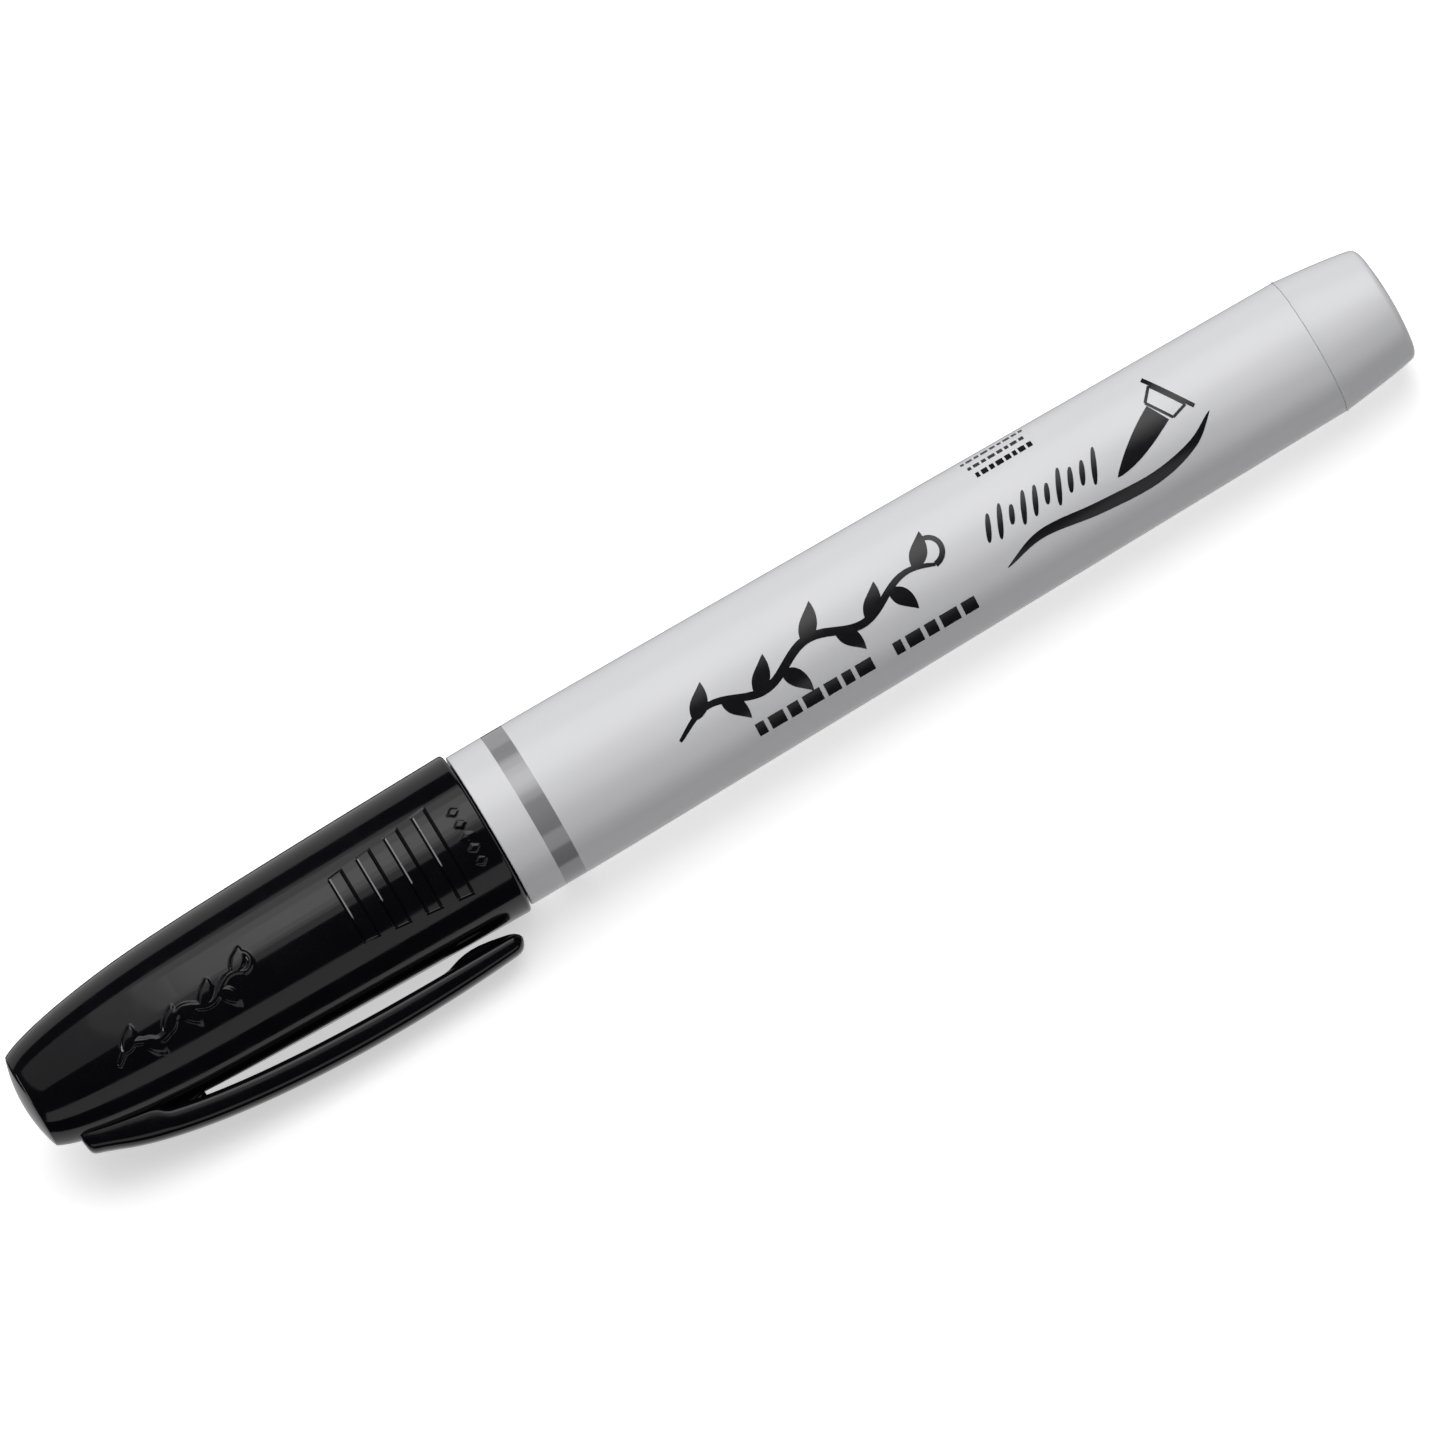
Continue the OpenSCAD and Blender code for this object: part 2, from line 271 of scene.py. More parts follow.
def noise(tree, scale, detail=3.0, stretch=(1, 1, 1), rough=0.5):
    """Noise with about scale features to a millimetre, drawn out along an axis whose stretch is
    below 1."""
    node = tree.nodes.new("ShaderNodeTexNoise")
    node.inputs["Scale"].default_value = scale
    node.inputs["Detail"].default_value = detail
    node.inputs["Roughness"].default_value = rough
    tree.links.new(coordinates(tree, stretch), node.inputs["Vector"])
    return node.outputs["Fac"]


def remap(tree, value, low, high, start=0.0, end=1.0):
    """The value moved from the range start to end into the range low to high."""
    node = tree.nodes.new("ShaderNodeMapRange")
    node.inputs["From Min"].default_value = start
    node.inputs["From Max"].default_value = end
    node.inputs["To Min"].default_value = low
    node.inputs["To Max"].default_value = high
    tree.links.new(value, node.inputs["Value"])
    return node.outputs["Result"]


def mix_colours(tree, factor, first, second):
    """A mix of two colours, each a constant or a socket."""
    node = tree.nodes.new("ShaderNodeMix")
    node.data_type = "RGBA"
    for socket, value in (("A", first), ("B", second)):
        target = next(i for i in node.inputs if i.name == socket and i.type == "RGBA")
        if isinstance(value, tuple):
            target.default_value = (*value, 1)
        else:
            tree.links.new(value, target)
    tree.links.new(factor, next(i for i in node.inputs if i.name == "Factor" and i.type == "VALUE"))
    return next(o for o in node.outputs if o.type == "RGBA")


def bump(tree, shader, height, strength, distance_mm):
    """Fine relief in the shading only."""
    node = tree.nodes.new("ShaderNodeBump")
    node.inputs["Strength"].default_value = strength
    node.inputs["Distance"].default_value = distance_mm * MM
    tree.links.new(height, node.inputs["Height"])
    tree.links.new(node.outputs["Normal"], shader.inputs["Normal"])


def along_axis(tree):
    """Distance along the pen in millimetres."""
    split = tree.nodes.new("ShaderNodeSeparateXYZ")
    tree.links.new(coordinates(tree, (1, 1, 1)), split.inputs[0])
    return split.outputs["X"]


def black_plastic():
    """Gloss black polypropylene with a faint moulded ripple and handling haze."""
    mat, tree, shader = material("black_plastic", (0.003, 0.003, 0.004), 0.13, ior=1.49)
    haze = noise(tree, 0.35, 4.0, rough=0.6)
    tree.links.new(mix_colours(tree, haze, (0.0016, 0.0016, 0.0024), (0.0040, 0.0036, 0.0052)),
                   shader.inputs["Base Color"])
    tree.links.new(remap(tree, haze, 0.06, 0.13, 0.3, 0.7), shader.inputs["Roughness"])
    bump(tree, shader, noise(tree, 1.2, 2.0, (0.35, 1, 1)), 0.05, 0.04)
    return mat


def grey_plastic(name, band=False):
    """Light grey satin polypropylene. The barrel carries a printed band of metallic grey near the cap."""
    mat, tree, shader = material(name, (0.62, 0.62, 0.65), 0.3, ior=1.47)
    cloud = noise(tree, 0.22, 2.0, (0.4, 1, 1))
    base = mix_colours(tree, cloud, (0.635, 0.637, 0.657), (0.665, 0.667, 0.687))
    grain = noise(tree, 0.6, 1.0, (0.5, 1, 1), 0.4)
    rough = remap(tree, grain, 0.18, 0.22, 0.3, 0.7)
    if band:
        x = along_axis(tree)
        rise = remap(tree, x, 0, 1, BAND_X[0] - BAND_SOFT, BAND_X[0] + BAND_SOFT)
        fall = remap(tree, x, 1, 0, BAND_X[1] - BAND_SOFT, BAND_X[1] + BAND_SOFT)
        inside = tree.nodes.new("ShaderNodeMath")
        inside.operation = "MULTIPLY"
        tree.links.new(rise, inside.inputs[0])
        tree.links.new(fall, inside.inputs[1])
        base = mix_colours(tree, inside.outputs[0], base, BAND_COLOUR)
        gloss = tree.nodes.new("ShaderNodeMath")
        gloss.operation = "MULTIPLY_ADD"
        tree.links.new(inside.outputs[0], gloss.inputs[0])
        gloss.inputs[1].default_value = -BAND_GLOSS
        tree.links.new(rough, gloss.inputs[2])
        rough = gloss.outputs[0]
        tree.links.new(remap(tree, inside.outputs[0], 0, BAND_METAL), shader.inputs["Metallic"])
    tree.links.new(base, shader.inputs["Base Color"])
    tree.links.new(rough, shader.inputs["Roughness"])
    return mat


def natural_plastic():
    """Uncoloured, slightly waxy polyethylene."""
    mat, tree, shader = material("liner_plastic", (0.75, 0.75, 0.73), 0.4, subsurface_weight=0.2)
    cloud = noise(tree, 0.6, 3.0)
    tree.links.new(mix_colours(tree, cloud, (0.70, 0.70, 0.67), (0.80, 0.80, 0.78)),
                   shader.inputs["Base Color"])
    tree.links.new(remap(tree, cloud, 0.34, 0.5), shader.inputs["Roughness"])
    bump(tree, shader, noise(tree, 3.0, 3.0), 0.15, 0.03)
    return mat


def collar_plastic():
    """Matt dark acetal."""
    mat, tree, shader = material("collar_plastic", (0.03, 0.03, 0.032), 0.5)
    cloud = noise(tree, 1.5, 4.0)
    tree.links.new(mix_colours(tree, cloud, (0.022, 0.022, 0.024), (0.045, 0.045, 0.048)),
                   shader.inputs["Base Color"])
    tree.links.new(remap(tree, cloud, 0.42, 0.6), shader.inputs["Roughness"])
    bump(tree, shader, noise(tree, 8.0, 3.0), 0.2, 0.02)
    return mat


def fibre(name, dark, light, strands_per_mm):
    """Bonded fibre running along the pen, wet with ink."""
    mat, tree, shader = material(name, dark, 0.55)
    strand = noise(tree, strands_per_mm, 4.0, (0.06, 1, 1), 0.65)
    tree.links.new(mix_colours(tree, strand, dark, light), shader.inputs["Base Color"])
    tree.links.new(remap(tree, strand, 0.35, 0.75), shader.inputs["Roughness"])
    bump(tree, shader, strand, 0.6, 0.04)
    return mat


def clear_film():
    """Thin clear film round the reservoir."""
    mat, tree, shader = material("clear_film", (0.85, 0.85, 0.87), 0.15, alpha=0.45)
    wrinkle = noise(tree, 0.5, 3.0, (0.2, 1, 1))
    tree.links.new(mix_colours(tree, wrinkle, (0.80, 0.80, 0.82), (0.90, 0.90, 0.92)),
                   shader.inputs["Base Color"])
    tree.links.new(remap(tree, wrinkle, 0.1, 0.25), shader.inputs["Roughness"])
    bump(tree, shader, wrinkle, 0.3, 0.05)
    return mat


def print_ink():
    """Glossy black printing ink with uneven cover."""
    mat, tree, shader = material("print_ink", (0.006, 0.006, 0.007), 0.24)
    cover = noise(tree, 1.2, 5.0, rough=0.65)
    tree.links.new(mix_colours(tree, cover, (0.003, 0.003, 0.004), (0.012, 0.012, 0.014)),
                   shader.inputs["Base Color"])
    tree.links.new(remap(tree, cover, 0.20, 0.26), shader.inputs["Roughness"])
    bump(tree, shader, noise(tree, 6.0, 2.0), 0.08, 0.01)
    return mat


BLACK = black_plastic()
GREY = grey_plastic("barrel_plastic", band=True)
GREY_PLUG = grey_plastic("plug_plastic")
NATURAL = natural_plastic()
COLLAR = collar_plastic()
NIB_FIBRE = fibre("nib_fibre", (0.008, 0.008, 0.01), (0.05, 0.05, 0.055), 7.0)
RESERVOIR_FIBRE = fibre("reservoir_fibre", (0.05, 0.05, 0.055), (0.22, 0.22, 0.23), 4.0)
FILM = clear_film()
INK = print_ink()

# ---------------------------------------------------------------- barrel and tail

TAIL_R = 6.45
EDGE_R = 0.12
SOCKET_R = 6.2
SPIGOT_R = 5.28


def barrel_radius(x):
    """Outer radius of the barrel: a straight collar, then a straight taper to the tail."""
    collar_end = COLLAR_START + MOUNTS["barrel_collar"]["dims"]["length_mm"]
    return np.interp(x, [collar_end, BARREL_END_X], [COLLAR_R, TAIL_R])


def make_barrel():
    """The barrel's tube, with a rounded front edge and a fine seam at the tail."""
    seam = 0.07
    outer = np.vstack([
        arc((EDGE_R, COLLAR_R - EDGE_R), EDGE_R, 180, 90, 8),
        [[x, barrel_radius(x)] for x in np.linspace(4, BARREL_END_X - 0.35, 24)],
        arc((BARREL_END_X - seam, TAIL_R - seam), seam, 90, 0, 4)])
    inner = rounded([
        [BARREL_END_X, SPIGOT_R + 0.02], [75.3, SPIGOT_R + 0.02], [74.1, 5.45], [13.8, 5.95],
        [13.4, SOCKET_R], [0, SOCKET_R]], 0.15, 2)
    obj = lathe("barrel_tube", np.vstack([outer, inner]), GREY, 256)
    sharpen(obj, 35)
    return obj


def make_plug():
    """The tail plug: a spigot inside the barrel, a small lip at the seam and a domed end."""
    lip = 0.09
    lip_x = BARREL_END_X + 0.01
    side = curve([[lip_x + 0.3, TAIL_R - 0.02], [84.9, 6.24], [87.9, 5.92], [90.03, 5.471]], 14)
    corner = arc((89.78, 4.71), 0.8, 72, 12, 12)
    outline = np.vstack([
        [[88.6, 0]],
        rounded([[88.6, 0.2], [88.6, 4.2], [76, 4.2], [76, SPIGOT_R - 0.4], [76.4, SPIGOT_R],
                 [lip_x, SPIGOT_R], [lip_x, TAIL_R - 0.2]], 0.1, 2)[:-1],
        arc((lip_x + lip, TAIL_R + 0.06 - lip), lip, 180, 90, 4),
        [[lip_x + lip + 0.06, TAIL_R + 0.05]],
        side,
        corner,
        dome(corner[-1], TAIL_X, 12)[1:]])
    obj = lathe("tail_plug_cap", outline, GREY_PLUG, 256)
    sharpen(obj, 35)
    return obj


for piece, body, nodes, slot in (
        (make_barrel(), "pen", ["barrel"], "grey_plastic"),
        (make_plug(), "pen", ["tail_plug"], "grey_plastic")):
    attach(piece, body)
    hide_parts(*nodes)

# ---------------------------------------------------------------- print on the barrel

PRINT_BEARING = math.radians(52.1)
# the ink's height over the barrel, its depth below the surface and the widest piece of a stroke
PRINT_HEIGHT = 0.022
PRINT_ROOT = 0.05
PRINT_CELL = 0.35
THINNEST_HALF = 0.015


def stroke_quads(line, half):
    """Four-cornered outlines that cover a stroke, small enough to follow the barrel."""
    step = np.gradient(line, axis=0)
    across = np.column_stack([-step[:, 1], step[:, 0]]) / np.linalg.norm(step, axis=1)[:, None]
    half = np.maximum(half, THINNEST_HALF)
    lanes = np.linspace(-1, 1, 1 + math.ceil(2 * half.max() / PRINT_CELL))
    edges = [line + across * (half * lane)[:, None] for lane in lanes]
    return [[a[i], a[i + 1], b[i + 1], b[i]]
            for a, b in zip(edges[:-1], edges[1:]) for i in range(len(line) - 1)]


def tapered(points, widest, steps, power, ends):
    """A brush stroke through the points, widest in its middle. Its ends keep a share of that width."""
    line = line_points(points, steps)
    t = np.linspace(0, 1, len(line))
    return line, widest * (ends + (1 - ends) * np.sin(np.pi * t) ** power)


def even(points, half, steps):
    """A stroke of one width."""
    line = line_points(points, steps)
    return line, np.full(len(line), half)


def dash_row(x0, x1, across, half, longest, gap):
    """Short blocks of mixed lengths along the pen."""
    strokes = []
    x, i = x0, 0
    while x < x1:
        size = longest * (0.45 + 0.55 * ((i * 0.618) % 1))
        end = min(x + size, x1)
        if end - x > 0.25 * longest:
            strokes.append(even([(x, across), (end, across)], half, 4))
        x = end + gap
        i += 1
    return strokes


def placed(strokes, x, across):
    """Strokes moved to a place on the barrel: along it, and across it towards the clip."""
    return [(line + (x, across), half) for line, half in strokes]


def turned_strokes(strokes, x, across, angle):
    """Strokes turned by the angle in degrees about their own origin, then put in place."""
    c, k = math.cos(math.radians(angle)), math.sin(math.radians(angle))
    return [(line @ np.array([[c, k], [-k, c]]) + (x, across), half) for line, half in strokes]


def nib_sign():
    """A plain picture of a brush nib in its collar, pointing along +x from its own origin."""
    t = np.linspace(0, 1, 40)
    nib = np.column_stack([6.6 * t, 0.55 * t * (1 - t) + 0.5 * t**3])
    strokes = [(nib, 1.12 * (1 - t**2.2) ** 0.8)]
    collar = [(-0.25, -1.35), (-1.75, -1.75), (-1.75, 1.75), (-0.25, 1.35), (-0.25, -1.35)]
    for a, b in zip(collar[:-1], collar[1:]):
        strokes.append(even([a, b], 0.13, 8))
    strokes.append(even([(-1.98, -2.5), (-1.98, 2.5)], 0.19, 14))
    return strokes


def print_strokes():
    """Every printed mark, as strokes in mm along the barrel and across it."""
    strokes = placed(vine(26.8, 8.2, 9, 0.048), 17.9, 0.35)
    for x0, x1 in ((24.2, 36.4), (38.0, 46.6)):
        strokes += dash_row(x0, x1, 4.32, 0.56, 1.9, 0.42)
    for i in range(10):
        x = 50.2 + 1.18 * i
        tall = 1.15 + 0.35 * math.sin(2.3 * i)
        upright = [(x - 0.45 * tall, tall - 0.6), (x, -0.55), (x + 0.5 * tall, -tall - 0.6)]
        strokes.append(tapered(upright, 0.25, 8, 0.5, 0.3))
    strokes += turned_strokes(nib_sign(), 68.0, -1.75, 148)
    swoosh = [(50.0, 3.2), (54.0, 2.15), (59.5, 2.75), (65.0, 3.0), (69.2, 2.1), (71.9, 0.35)]
    strokes.append(tapered(swoosh, 0.55, 14, 0.75, 0.05))
    for row, (across, half) in enumerate(((-6.45, 0.08), (-5.85, 0.13), (-5.05, 0.22))):
        strokes += dash_row(51.2 + 0.3 * row, 57.4, across, half, 0.75, 0.22)
    return strokes


def make_print():
    """Thin closed slabs of ink that follow the barrel's surface and reach a little into it."""
    outlines = [q for line, half in print_strokes() for q in stroke_quads(line, half)]
    corners = np.array(outlines).reshape(-1, 2)
    faces = [[4 * i + j for j in range(4)] for i in range(len(outlines))]
    flat, _, tris, _, _, sources = delaunay_2d_cdt([Vector(p) for p in corners], [], faces, 1, 1e-5)
    flat = np.array([tuple(p) for p in flat])
    tris = np.array([list(f) for f, source in zip(tris, sources) if source])
    used = np.unique(tris)
    number = np.full(len(flat), -1)
    number[used] = np.arange(len(used))
    flat, tris = flat[used], number[tris]
    a, b, c = (flat[tris[:, i]] for i in range(3))
    turn = (b - a)[:, 0] * (c - a)[:, 1] - (b - a)[:, 1] * (c - a)[:, 0]
    tris[turn < 0] = tris[turn < 0][:, ::-1]
    sides = dict.fromkeys((tri[i], tri[(i + 1) % 3]) for tri in tris.tolist() for i in range(3))
    rim = [e for e in sides if (e[1], e[0]) not in sides]

    def wrapped(lift):
        """The flat points laid round the barrel, lifted off its surface."""
        r = barrel_radius(flat[:, 0])
        bearing = PRINT_BEARING - np.arcsin(flat[:, 1] / r)
        r = r + lift
        return np.column_stack([flat[:, 0], -r * np.cos(bearing), r * np.sin(bearing)])

    n = len(flat)
    verts = np.vstack([wrapped(PRINT_HEIGHT), wrapped(-PRINT_ROOT)])
    faces = [tuple(t) for t in tris.tolist()] + [tuple(n + v for v in t[::-1]) for t in tris.tolist()]
    faces += [(q, p, n + p, n + q) for p, q in rim]
    obj = new_object("barrel_print", verts, faces, INK)
    face_outwards(obj)
    sharpen(obj, 40)
    return obj


printing = make_print()
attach(printing, "pen")

# ---------------------------------------------------------------- nib holder, nib and reservoir

SEAT_R = 6.58
SEAL_R = 4.6
STEM_R = 1.25
HOLDER_TIP_X = -25
POINT_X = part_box("brush_tip")[0].x / MM


def make_holder():
    """The front section that carries the cap and grips the nib."""
    shoulder = curve([[-8.6, 6.2], [-10.6, 6.2], [-11.6, 4.75], [-13.4, SEAL_R]], 14)
    snout = curve([[-18, SEAL_R], [-20.6, 4.5], [-22.6, 2.95], [-24.7, 2.62]], 14)
    outline = np.vstack([
        rounded([[12.9, 5.4], [13, 5.9], [12.6, SOCKET_R - 0.02], [0, SOCKET_R - 0.02], [0, SEAT_R],
                 [-5.9, SEAT_R], [-6.4, SEAT_R + 0.03], [-6.9, SEAT_R], [-8.2, SEAT_R]], 0.12, 3),
        shoulder,
        snout,
        rounded([[HOLDER_TIP_X + 0.15, 2.55], [HOLDER_TIP_X, 2.35], [HOLDER_TIP_X, 2.02], [-14.2, 2.02],
                 [-14.2, 1.35], [-7.2, 1.35], [-7.2, 4.6], [1.8, 4.6], [1.8, 5.18], [12.8, 5.3]], 0.12, 3)])
    obj = lathe("nib_holder_shell", outline, BLACK, 160)
    sharpen(obj, 35)
    return obj


def make_nib():
    """The nib's stem and its cone in one rod; the cone starts at the hinge."""
    cone = curve([[NIB_PIVOT_X, STEM_R], [-28.6, 1.8], [-31.2, 1.3], [POINT_X + 0.2, 0.2]], 60)
    outline = np.vstack([
        [[11, 0]],
        rounded([[11, 0.5], [10.2, STEM_R], [-20, STEM_R], [NIB_PIVOT_X + 0.2, STEM_R]], 0.1, 2),
        cone,
        [[POINT_X + 0.05, 0.12]],
        [[POINT_X, 0]]])
    obj = lathe("brush_nib", outline, NIB_FIBRE, 96)
    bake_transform(obj)
    return obj


def make_liner():
    """The inner cup of the cap. Its outline is turned so that it starts and ends on the axis."""
    outline = np.vstack([rounded([
        [-14, SEAL_R + 0.4], [-14, 5.46], [-14.3, 5.74], [-15.8, 5.74], [-16.4, 5.3], [-36, 5.05],
        [-40.2, 4.45], [-43.2, 3.3], [-43.2, 0]], 0.3, 4),
        rounded([[-42.5, 0], [-42.5, 3], [-39.8, 3.8], [-36, 4.35], [-20, 4.72], [-16.9, 4.78],
                 [-16.5, SEAL_R + 0.05], [-14.4, SEAL_R + 0.05], [-14, SEAL_R + 0.4]], 0.2, 3)[:-1]])
    turn = int(np.argmax(outline[:, 1] < 1e-9))
    outline = np.vstack([outline[turn + 1:], outline[:turn + 1]])
    obj = lathe("inner_cap", outline, NATURAL, 128)
    sharpen(obj, 40)
    return obj


fibre_nodes = {"ink_reservoir": RESERVOIR_FIBRE, "reservoir_film": FILM, "tip_collar": COLLAR}
for node, look in fibre_nodes.items():
    mesh = frame["nodes"][node].data
    mesh.materials.clear()
    mesh.materials.append(look)

holder = make_holder()
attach(holder, "pen")
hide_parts("nib_holder")
nib = make_nib()
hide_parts("tip_stem", "brush_tip")
liner = make_liner()
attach(liner, "cap")
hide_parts("cap_liner")

# ---------------------------------------------------------------- cap

CAP_R = 7.8
DOME_X = -46
DOME_R = 4.39
LIP_R = 0.35
CAVITY_END_X = -44.2
BAR_X = [-13.6 + i * 2.95 for i in range(4)]
BAR_W = 1.45
BAR_H = 0.25
# half length of the bars at two places along the pen
BAR_SPAN = ((-14.6, 3.12), (-3.7, 4.32))
BAR_REACH = (BAR_SPAN[0][1] + BAR_SPAN[1][1]) / 2
# across a bar's edge, from its top outwards: distance past the edge, share of the bar's height
BAR_EDGE = ((-0.25, 1.0), (-0.11, 0.55), (-0.06, -0.31), (0.1, 0.0))
# the mesh has lines at these distances past a bar's edge, three to each corner of its section
BAR_LINES = [corner + near for corner, _ in BAR_EDGE for near in (-0.012, 0, 0.012)]
EMBLEM_BOX = (13.4, 5.6)
EMBLEM_PLACE = (-37.8, 0.5)
EMBLEM_SPAN = (-39, -22.5)
EMBLEM_H = 0.2
MARK_X = -2.1
MARK_PLACES = np.linspace(-2.6, 2.2, 5)
MARK_SIZE = (0.72, 0.48)
MARK_H = 0.11
# stands for "nowhere near the relief", in shares of a bar or in mm
FAR = 9.0

CAP_SIDE = np.vstack([
    curve([[DOME_X, DOME_R], [-43.88, 5.66], [-36.09, 6.81], [-30.5, 7.06]], 200),
    curve([[-30.5, 7.06], [-24.01, 7.44], [-8.03, 7.7], [MOUTH_X - LIP_R, CAP_R]], 200)[1:]])


def cap_radius(x):
    """Outer radius of the cap without its relief."""
    return np.interp(x, CAP_SIDE[:, 0], CAP_SIDE[:, 1])


def bar_half_span(x):
    """Half the length of the grip bars, which grow towards the mouth."""
    (x0, s0), (x1, s1) = BAR_SPAN
    return np.interp(x, [x0, x1], [s0, s1])


def smooth(value, low, high):
    """A soft step from 0 at low to 1 at high."""
    t = np.clip((value - low) / (high - low), 0, 1)
    return t * t * (3 - 2 * t)


def bar_relief(x, u):
    """Height of the grip bars, with a fine groove round each; u runs from -1 to 1 along a bar."""
    past_end = (np.abs(u) - 1) * BAR_REACH
    height = np.zeros_like(x)
    for centre in BAR_X:
        past_side = np.abs(x - centre) - BAR_W / 2
        height += np.interp(np.maximum(past_side, past_end), *zip(*BAR_EDGE))
    return BAR_H * height


def emblem_relief(x, q):
    """Height of a small raised leafy tendril; q is the distance across it, towards the clip."""
    near = np.full(x.shape, FAR)
    for line, half in vine(EMBLEM_BOX[0], EMBLEM_BOX[1], 7, 0.055):
        for (cx, cq), w in zip(line + EMBLEM_PLACE, half):
            near = np.minimum(near, np.hypot(x - cx, q - cq) - w)
    return EMBLEM_H * np.clip((0.14 - near) / 0.25, 0, 1)


def mark_relief(x, q):
    """Height of a row of small raised diamonds near the mouth."""
    height = np.zeros_like(x)
    for place in MARK_PLACES:
        inside = 1 - np.abs(x - MARK_X) / MARK_SIZE[0] - np.abs(q - place) / MARK_SIZE[1]
        height = np.maximum(height, smooth(inside, 0, 0.35))
    return MARK_H * height


def cap_rows():
    """The cap's section as rows of x and radius, and which of them are on its outer side."""
    # rows lie close together where the relief is
    edge = [x + s * (BAR_W / 2 + line) for x in BAR_X for s in (-1, 1) for line in BAR_LINES]
    xs = np.unique(np.round(np.concatenate([
        np.linspace(DOME_X + 0.12, -38.6, 24), np.arange(-38.5, -22.8, 0.11),
        np.linspace(-22.6, -14.7, 14), np.linspace(-14.5, -3.8, 60), edge,
        np.linspace(-3.6, MOUTH_X - LIP_R, 32)]), 4))
    side = np.column_stack([xs, cap_radius(xs)])
    lip = arc((MOUTH_X - LIP_R, CAP_R - LIP_R), LIP_R, 90, 0, 8)[1:]
    cavity = rounded([
        [MOUTH_X, 7.1], [MOUTH_X - 0.35, 6.66], [-11.5, 6.66], [-12.2, 5.76], [-16.2, 5.76],
        [-16.6, 5.5], [-36, 5.3], [-40.5, 4.7], [CAVITY_END_X, 3.4], [CAVITY_END_X, 0]], 0.25, 3)
    # the dome's edge is drawn in to meet the start of a fine rounded rim
    end = dome((DOME_X, DOME_R), CAP_END_X, 16)[::-1]
    end[-1] += (0.03, -0.03)
    rim = arc((DOME_X + 0.16, DOME_R - 0.07), 0.14, 160, 105, 4)
    rows = np.vstack([end[1:-1], rim, side, lip, cavity[:-1]])
    outside = np.zeros(len(rows), bool)
    first = len(end) - 2 + len(rim)
    outside[first:first + len(side)] = True
    return rows, outside


def cap_columns(x):
    """The angle and the place u along the bars of every column in each row, and how many columns
    the front has. The columns are fine on the two barred sides and coarse between them."""
    ends = [s * (1 + line / BAR_REACH) for s in (-1, 1) for line in BAR_LINES]
    barred = np.linspace(-1.35, 1.35, 28)
    face = np.unique(np.concatenate([barred, np.linspace(-0.9, 0.62, 52), ends]))
    back = np.unique(np.concatenate([barred, ends]))
    r_for_angle = cap_radius(np.clip(x, BAR_SPAN[0][0], BAR_SPAN[1][0]))
    span = bar_half_span(x)[:, None]
    face_a = np.arcsin(face[None] * span / r_for_angle[:, None])
    back_a = np.arcsin(back[None] * span / r_for_angle[:, None]) + np.pi
    gap = np.linspace(0, 1, 30)[1:-1]
    between = face_a[:, -1:] + (back_a[:, :1] - face_a[:, -1:]) * gap[None]
    beyond = back_a[:, -1:] + (face_a[:, :1] + 2 * np.pi - back_a[:, -1:]) * gap[None]
    u = np.hstack([np.repeat(face[None], len(x), 0), np.full(between.shape, FAR),
                   np.repeat(back[None], len(x), 0), np.full(beyond.shape, FAR)])
    return np.hstack([face_a, between, back_a, beyond]), u, len(face)


def make_cap():
    """The cap's moulding, inside and out, with its relief as real height."""
    rows, outside = cap_rows()
    angle, u, front = cap_columns(rows[:, 0])
    count, cols = angle.shape
    x = np.repeat(rows[:, 0:1], cols, 1)
    radius = np.repeat(rows[:, 1:2], cols, 1)
    q = radius * np.sin(angle)
    relief = bar_relief(x, u)
    for picture, start, stop in (
            (emblem_relief, *EMBLEM_SPAN),
            (mark_relief, MARK_X - MARK_SIZE[0], MARK_X + MARK_SIZE[0])):
        zone = outside & (x[:, 0] > start) & (x[:, 0] < stop)
        relief[zone, :front] += picture(x[zone, :front], q[zone, :front])
    radius = radius + np.where(outside[:, None], relief, 0)
    # angle 0 faces away from CLIP_ACROSS, a quarter turn from the clip
    y_axis, z_axis = np.array(CLIP_OUT), -np.array(CLIP_ACROSS)
    verts = (x[..., None] * np.array([1, 0, 0])
             + (radius * np.sin(angle))[..., None] * y_axis
             + (radius * np.cos(angle))[..., None] * z_axis).reshape(-1, 3)
    verts = np.vstack([verts, [CAP_END_X, 0, 0], [CAVITY_END_X, 0, 0]])
    faces = grid_faces(count, cols) + end_fans(count, cols)
    obj = new_object("cap_shell_moulding", verts, faces, BLACK)
    face_outwards(obj)
    sharpen(obj, 50)
    return obj


# ---------------------------------------------------------------- clip

CLIP_W = 4.3
CLIP_ROOT_X = -44
CLIP_TIP_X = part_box("clip_arm")[1].x / MM
# how far out from the axis the clip bends
CLIP_POINTS = 72
CLIP_OUTER = np.vstack([
    [[CLIP_ROOT_X, 4.6], [-43.85, 5.8], [-43.78, 6.2], [-43.68, 6.5], [-43.5, 6.7], [-43.25, 6.82],
     [-42.6, 7.04]],
    curve([[-41.4, 7.5], [-34.1, 10.7], [-17.9, 11.8], [-3.3, 10.62]], 60),
    [[-2.9, 10.53], [-2.6, 10.36], [-2.38, 10.1], [-2.22, 9.8], [CLIP_TIP_X, 9.4]]])
CLIP_INNER = np.vstack([
    [[CLIP_ROOT_X, 3.9], [-42, 4.6], [-40, 4.95], [-37.6, 5.4], [-36.9, 5.75], [-36.5, 6.2]],
    curve([[-36.1, 6.5], [-28.9, 8.42], [-16.9, 8.69], [-9.5, 8.71]], 40),
    [[-6, 8.74], [-3.2, 8.78], [-2.6, 8.86], [-2.3, 9.05], [CLIP_TIP_X, 9.4]]])
